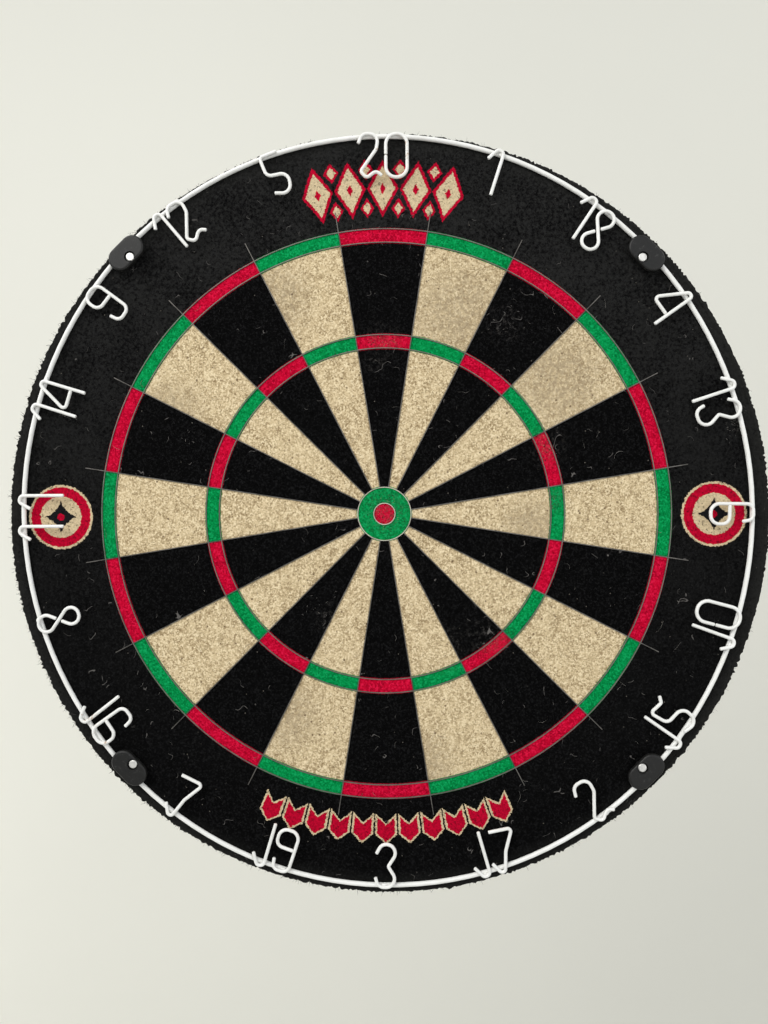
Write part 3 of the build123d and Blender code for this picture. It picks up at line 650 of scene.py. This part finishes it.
for x, z, reach, count in tornSpots:
    for k in range(count):
        place = Vector((x + rng.gauss(0, reach), 0, z + rng.gauss(0, reach))) * mm
        place.y = lintY
        heading = rng.uniform(0, math.tau)
        along = Vector((math.cos(heading), 0, math.sin(heading))) * rng.uniform(0.5, 1.6) * mm
        strand(points, faces, [place, place + along * 0.5 + lift, place + along], fuzzLook["lintThickness"] * 1.2)
makePiece("face_lint", points, faces, fuzzFinish("pale lint", fuzzLook["lintDark"], fuzzLook["lintPale"]),
          "board", "sisal_natural")
print("loose fibre made")


paintLook = {
    "white": (0.86, 0.86, 0.83), "yellowed": (0.79, 0.79, 0.75), "halo": (0.62, 0.50, 0.38),
    "chip": (0.17, 0.095, 0.055), "rust": (0.48, 0.30, 0.17), "deepRust": (0.19, 0.085, 0.04),
    "peelSize": 1.6 * mm, "flakeSize": 1.1 * mm, "patchSize": 22 * mm, "rustReach": 9.0,
}


def whitePaint():
    finish = Finish("white ring paint", roughness=0.38, specular=0.5, coat=0.15, coatRoughness=0.2)
    look = paintLook
    peel = finish.grain(look["peelSize"], 3.0, 0.6)
    colour = finish.blend(finish.ease(finish.grain(9 * mm, 3.0, 0.6), 0.35, 0.7), look["white"], look["yellowed"])
    flakes = finish.grain(look["flakeSize"], 4.0, 0.7)
    patches = finish.ease(finish.grain(look["patchSize"], 1.0), 0.50, 0.60)
    chip = finish.ease(flakes, 0.70, 0.735) * patches
    colour = finish.blend(finish.ease(flakes, 0.655, 0.72) * patches * 0.5, colour, look["halo"])
    colour = finish.blend(chip * 0.85, colour, look["chip"])
    finish.feed(colour=colour, roughness=0.30 + 0.22 * peel + 0.3 * chip)
    return finish.bump(peel - chip * 0.8, 0.10 * mm, 0.6)


hoopRadius = corner("number_ring_hoop", 1, 0) - 1.5 * mm       # about the middle of its wire


def rustyPaint():
    # two numbers have cracked paint and rust, close to the hoop
    finish = Finish("white paint, rusting", roughness=0.45, specular=0.4)
    look = paintLook
    across, up = finish.axes()
    fromHoop = abs((across * across + up * up) ** 0.5 - hoopRadius / mm)
    rust = finish.ease(finish.grain(3.2 * mm, 4.0, 0.7), 0.53, 0.64) * finish.ease(fromHoop, look["rustReach"], 2.0)
    colour = finish.blend(finish.grain(9 * mm), look["white"], look["yellowed"])
    colour = finish.blend(rust * 0.75, colour, look["rust"])
    colour = finish.blend(rust * finish.ease(finish.grain(1.0 * mm, 2.0), 0.5, 0.62), colour, look["deepRust"])
    finish.feed(colour=colour, roughness=0.35 + 0.4 * rust)
    return finish.bump(finish.grain(look["peelSize"], 3.0, 0.6) + rust * 0.5, 0.12 * mm, 0.7)


bladeLook = {"pale": (0.165, 0.155, 0.140), "dark": (0.080, 0.076, 0.068)}


def bladeSteel():
    finish = Finish("blade steel", metallic=0.6, roughness=0.5, specular=0.3)
    drawn = finish.grain(0.9 * mm, 3.0, 0.6)
    spots = finish.ease(finish.grain(7 * mm, 3.0, 0.6), 0.35, 0.7)
    finish.feed(colour=finish.blend(spots, bladeLook["pale"], bladeLook["dark"]), roughness=0.34 + 0.25 * drawn)
    return finish.bump(drawn, 0.03 * mm, 0.4)


clipLook = {"dark": (0.0075, 0.0075, 0.0070), "pale": (0.0130, 0.0130, 0.0122), "scuff": (0.075, 0.075, 0.072)}


def clipPlastic():
    finish = Finish("charcoal clip plastic", roughness=0.5, specular=0.32)
    skin = finish.grain(0.42 * mm, 3.0, 0.6)
    scuff = finish.ease(finish.grain(2.6 * mm, 5.0, 0.75), 0.56, 0.70)
    colour = finish.blend(finish.ease(skin, 0.3, 0.7), clipLook["dark"], clipLook["pale"])
    colour = finish.blend(scuff * 0.45, colour, clipLook["scuff"])
    finish.feed(colour=colour, roughness=0.36 + 0.16 * skin + 0.1 * scuff)
    return finish.bump(skin + scuff * 0.4, 0.06 * mm, 0.6)


# colour, roughness, how much brushing adds to it, and metallic
steelLook = {
    "pin steel": ((0.84, 0.83, 0.79), 0.34, 0.2, 0.75), "rivet steel": ((0.55, 0.54, 0.52), 0.30, 0.2, 1.0),
    "zinc screw": ((0.62, 0.60, 0.52), 0.26, 0.2, 1.0), "bracket steel": ((0.50, 0.50, 0.49), 0.34, 0.25, 1.0),
    "bull ring steel": ((0.60, 0.58, 0.48), 0.40, 0.2, 0.6),
    "ring blade steel": ((0.185, 0.180, 0.155), 0.46, 0.2, 0.6),
}


def brightSteel(name):
    colour, low, brushed, metallic = steelLook[name]
    finish = Finish(name, metallic=metallic, roughness=low)
    lines = finish.grain(0.6 * mm, 4.0, 0.7, at=finish.stretched(1, 0.15, 1))
    stains = finish.ease(finish.grain(6 * mm, 3.0, 0.6), 0.35, 0.72)
    tint = finish.blend(stains, colour, tuple(c * 0.72 for c in colour))
    finish.feed(colour=tint, roughness=low + brushed * lines)
    return finish.bump(lines, 0.02 * mm, 0.4)


bandLook = {"dark": (0.010, 0.010, 0.011), "pale": (0.022, 0.022, 0.023), "scrape": (0.30, 0.30, 0.30)}


def bandEnamel():
    finish = Finish("black band enamel", roughness=0.4, specular=0.5)
    peel = finish.grain(1.8 * mm, 2.0)
    scrape = finish.ease(finish.grain(2.2 * mm, 5.0, 0.8, at=finish.stretched(0.25, 2.5, 0.25)), 0.61, 0.67)
    colour = finish.blend(finish.grain(30 * mm), bandLook["dark"], bandLook["pale"])
    colour = finish.blend(scrape, colour, bandLook["scrape"])
    finish.feed(colour=colour, roughness=0.30 + 0.2 * peel, metallic=scrape)
    return finish.bump(peel - scrape * 0.5, 0.06 * mm, 0.5)


chipLook = {
    "dark": (0.33, 0.215, 0.115), "pale": (0.66, 0.49, 0.30), "bark": (0.16, 0.09, 0.045),
    "sliver": (0.74, 0.58, 0.38), "stain": (0.30, 0.19, 0.10), "chipSize": 4.2 * mm, "smallChipSize": 1.7 * mm,
}


def chipboard():
    finish = Finish("chipboard", roughness=0.8, specular=0.25)
    look = chipLook
    large, small = finish.cells(look["chipSize"], "Color"), finish.cells(look["smallChipSize"], "Color")
    tone = finish.node("ShaderNodeSeparateColor", None, {0: large}, "Red")
    fine = finish.node("ShaderNodeSeparateColor", None, {0: small}, "Green")
    grains = finish.grain(0.7 * mm, 4.0, 0.7, at=finish.stretched(0.35, 1, 1.4))
    colour = finish.blend(tone * 0.55 + fine * 0.45, look["dark"], look["pale"])
    colour = finish.blend(finish.ease(fine, 0.86, 0.93), colour, look["bark"])
    colour = finish.blend(finish.ease(grains, 0.45, 0.75) * 0.35, colour, look["sliver"])
    colour = finish.blend(finish.ease(finish.grain(9 * mm, 2.0), 0.45, 0.8) * 0.25, colour, look["stain"])
    finish.feed(colour=colour, roughness=0.72 + 0.2 * grains)
    return finish.bump(tone * 0.4 + fine * 0.5 + grains * 0.6, 0.12 * mm, 0.6)


# dark, pale, size of the skin's grain, its depth, and roughness
mouldedLook = {
    "white nylon": ((0.60, 0.58, 0.53), (0.74, 0.72, 0.67), 0.8 * mm, 0.04 * mm, 0.5),
    "pad rubber": ((0.012, 0.012, 0.012), (0.040, 0.039, 0.037), 0.7 * mm, 0.08 * mm, 0.75),
}


def moulded(name):
    # rubber or nylon: a fine skin and a little dust
    dark, pale, size, depth, rough = mouldedLook[name]
    finish = Finish(name, roughness=rough, specular=0.35)
    skin = finish.grain(size, 3.0, 0.6)
    dust = finish.ease(finish.grain(size * 9, 4.0, 0.7), 0.5, 0.75)
    finish.feed(colour=finish.blend(skin * 0.5 + dust * 0.5, dark, pale), roughness=rough + 0.15 * skin)
    return finish.bump(skin, depth, 0.6)


cadFinishes = {
    "ring_paint": whitePaint(), "blade_steel": bladeSteel(), "clip_plastic": clipPlastic(),
    "pin_steel": brightSteel("pin steel"), "band_steel": bandEnamel(), "rivet_steel": brightSteel("rivet steel"),
    "zinc_screw": brightSteel("zinc screw"), "bracket_steel": brightSteel("bracket steel"),
    "chipboard": chipboard(), "nylon": moulded("white nylon"), "pad_rubber": moulded("pad rubber"),
    "sisal_black": sisalFinishes["black"], "sisal_natural": sisalFinishes["natural"],
    "sisal_red": sisalFinishes["red"], "sisal_green": sisalFinishes["green"],
}
# parts that differ from the rest of their slot
ownFinishes = dict.fromkeys(("numeral_20", "numeral_16"), rustyPaint())
ownFinishes.update(dict.fromkeys(("outer_bull_ring", "bull_ring"), brightSteel("bull ring steel")))
ringBlades = ("double_outer_blade", "double_inner_blade", "treble_outer_blade", "treble_inner_blade")
ownFinishes.update(dict.fromkeys(ringBlades, brightSteel("ring blade steel")))

for name, part in nodes.items():
    # each part comes with one slot, named for its finish
    slot = part.data.materials[0].name
    part.data.materials[0] = ownFinishes.get(name, cadFinishes[slot])
print("frame parts finished")


weldLook = {"reach": 0.45 * mm, "apart": 3.0 * mm, "width": 1.35 * mm, "length": 1.9 * mm, "height": 0.75 * mm,
            "lumpSize": 1.3 * mm, "lumps": 0.22, "rings": 7, "sides": 14}


def weldPlaces():
    # where the numbers lie on the hoop
    hoop = nodes["number_ring_hoop"].data.vertices
    tree = KDTree(len(hoop))
    for k, vertex in enumerate(hoop):
        tree.insert(vertex.co, k)
    tree.balance()
    found = []
    for name, part in nodes.items():
        if not name.startswith("numeral_"):
            continue
        for vertex in part.data.vertices:
            onHoop, _, distance = tree.find(vertex.co)
            if distance < weldLook["reach"]:
                place = (vertex.co + onHoop) / 2
                if all((place - other).length > weldLook["apart"] for other in found):
                    found.append(place)
    return found


def weldBead(place):
    # a lumpy oval bead: rings of points between two poles
    look = weldLook
    along = Vector((place.z, 0, -place.x)).normalized() * look["length"]
    outward = Vector((place.x, 0, place.z)).normalized() * look["width"]
    forward = Vector((0, -1, 0)) * look["height"]
    rings, sides = look["rings"], look["sides"]
    spots = [(0, 0)] + [(i, s) for i in range(1, rings) for s in range(sides)] + [(rings, 0)]
    points = []
    for i, s in spots:
        lat, turn = math.pi * i / rings, math.tau * s / sides
        ball = along * math.sin(lat) * math.cos(turn) + outward * math.sin(lat) * math.sin(turn) + forward * math.cos(lat)
        points.append(tuple(place + ball * (1 + look["lumps"] * swell(*(place + ball), look["lumpSize"]))))

    def at(i, s):
        # the point in ring i at side s; each pole is a single point
        return 0 if i == 0 else len(points) - 1 if i == rings else 1 + (i - 1) * sides + s % sides

    faces = [tuple(dict.fromkeys((at(i, s), at(i + 1, s), at(i + 1, s + 1), at(i, s + 1))))
             for i in range(rings) for s in range(sides)]
    return points, faces


welds = weldPlaces()
makePiece("weld_beads", *joined(*map(weldBead, welds)), cadFinishes["ring_paint"], "number_ring", "ring_paint")
print("welds:", len(welds))


stageLook = {"wallY": 1.35, "floorZ": -1.73, "reach": 6.0,
             "wallColour": (0.79, 0.785, 0.713), "floorColour": (0.74, 0.73, 0.70)}


def plainWall(name, colour):
    finish = Finish(name, roughness=0.9, specular=0.1)
    finish.feed(colour=finish.blend(finish.grain(0.6, 2.0), colour, tuple(c * 0.97 for c in colour)))
    return finish.bump(finish.grain(2 * mm, 3.0), 0.1 * mm, 0.2)


def stagePlane(name, corners, material):
    mesh = bpy.data.meshes.new(name)
    mesh.from_pydata(corners, [], [(0, 1, 2, 3)])
    mesh.materials.append(material)
    plane = bpy.data.objects.new(name, mesh)
    bpy.context.scene.collection.objects.link(plane)


far, wallY, floorZ = stageLook["reach"], stageLook["wallY"], stageLook["floorZ"]
stagePlane("backdrop", [(-far, wallY, floorZ), (far, wallY, floorZ), (far, wallY, far), (-far, wallY, far)],
           plainWall("pale wall", stageLook["wallColour"]))
stagePlane("floor", [(-far, -far, floorZ), (far, -far, floorZ), (far, wallY, floorZ), (-far, wallY, floorZ)],
           plainWall("pale floor", stageLook["floorColour"]))

# place, aim, size in metres, watts and colour of each lamp
lightLook = {
    "key": ((-0.95, -1.30, 1.25), (0, 0, 0), 1.5, 26.0, (1.0, 0.985, 0.955)),
    "fill": ((1.30, -1.50, 0.10), (0, 0, 0), 2.0, 11.0, (0.97, 0.985, 1.0)),
    "wall": ((-2.30, -0.60, 1.30), (0, 1.35, 0.1), 2.4, 14.0, (1.0, 0.99, 0.96)),
    "wallRight": ((2.30, 0.30, 1.50), (0.9, 1.35, 0.8), 1.6, 8.0, (1.0, 0.99, 0.96)),
    "wallLow": ((-2.20, 0.30, -0.85), (-0.8, 1.35, -0.7), 1.0, 8.5, (1.0, 0.99, 0.96)),
}
for name, (place, aim, size, power, colour) in lightLook.items():
    lamp = bpy.data.lights.new(name, "AREA")
    lamp.shape, lamp.size, lamp.energy, lamp.color = "DISK", size, power, colour
    holder = bpy.data.objects.new(name, lamp)
    bpy.context.scene.collection.objects.link(holder)
    holder.location = place
    holder.rotation_euler = (Vector(aim) - Vector(place)).to_track_quat("-Z", "Y").to_euler()

roomLook = {"colour": (0.90, 0.92, 0.95, 1), "strength": 0.60}
world = bpy.data.worlds.new("soft room")
world.use_nodes = True
world.node_tree.nodes["Background"].inputs["Color"].default_value = roomLook["colour"]
world.node_tree.nodes["Background"].inputs["Strength"].default_value = roomLook["strength"]
bpy.context.scene.world = world
bpy.context.scene.view_settings.view_transform = "Standard"       # the default one washes out the dyes

cameraLook = {"place": (0.01002, -0.5106, 0.00271), "lens": 27.07, "sensor": 36.0, "nearest": 0.01,
              "yaw": -1.277, "pitch": -0.202, "roll": -0.293}
yaw, pitch, roll = (math.radians(cameraLook[word]) for word in ("yaw", "pitch", "roll"))
ahead = Vector((math.sin(yaw) * math.cos(pitch), math.cos(yaw) * math.cos(pitch), math.sin(pitch)))
level = Vector((math.cos(yaw), -math.sin(yaw), 0))
above = level.cross(ahead)
right = math.cos(roll) * level + math.sin(roll) * above
above = math.cos(roll) * above - math.sin(roll) * level
camera = bpy.data.cameras.new("camera")
camera.lens, camera.sensor_width, camera.clip_start = (cameraLook[word] for word in ("lens", "sensor", "nearest"))
holder = bpy.data.objects.new("camera", camera)
bpy.context.scene.collection.objects.link(holder)
turn = Matrix((right, above, -ahead)).transposed().to_4x4()
holder.matrix_world = Matrix.Translation(cameraLook["place"]) @ turn
bpy.context.scene.camera = holder
print("stage, light and camera set")
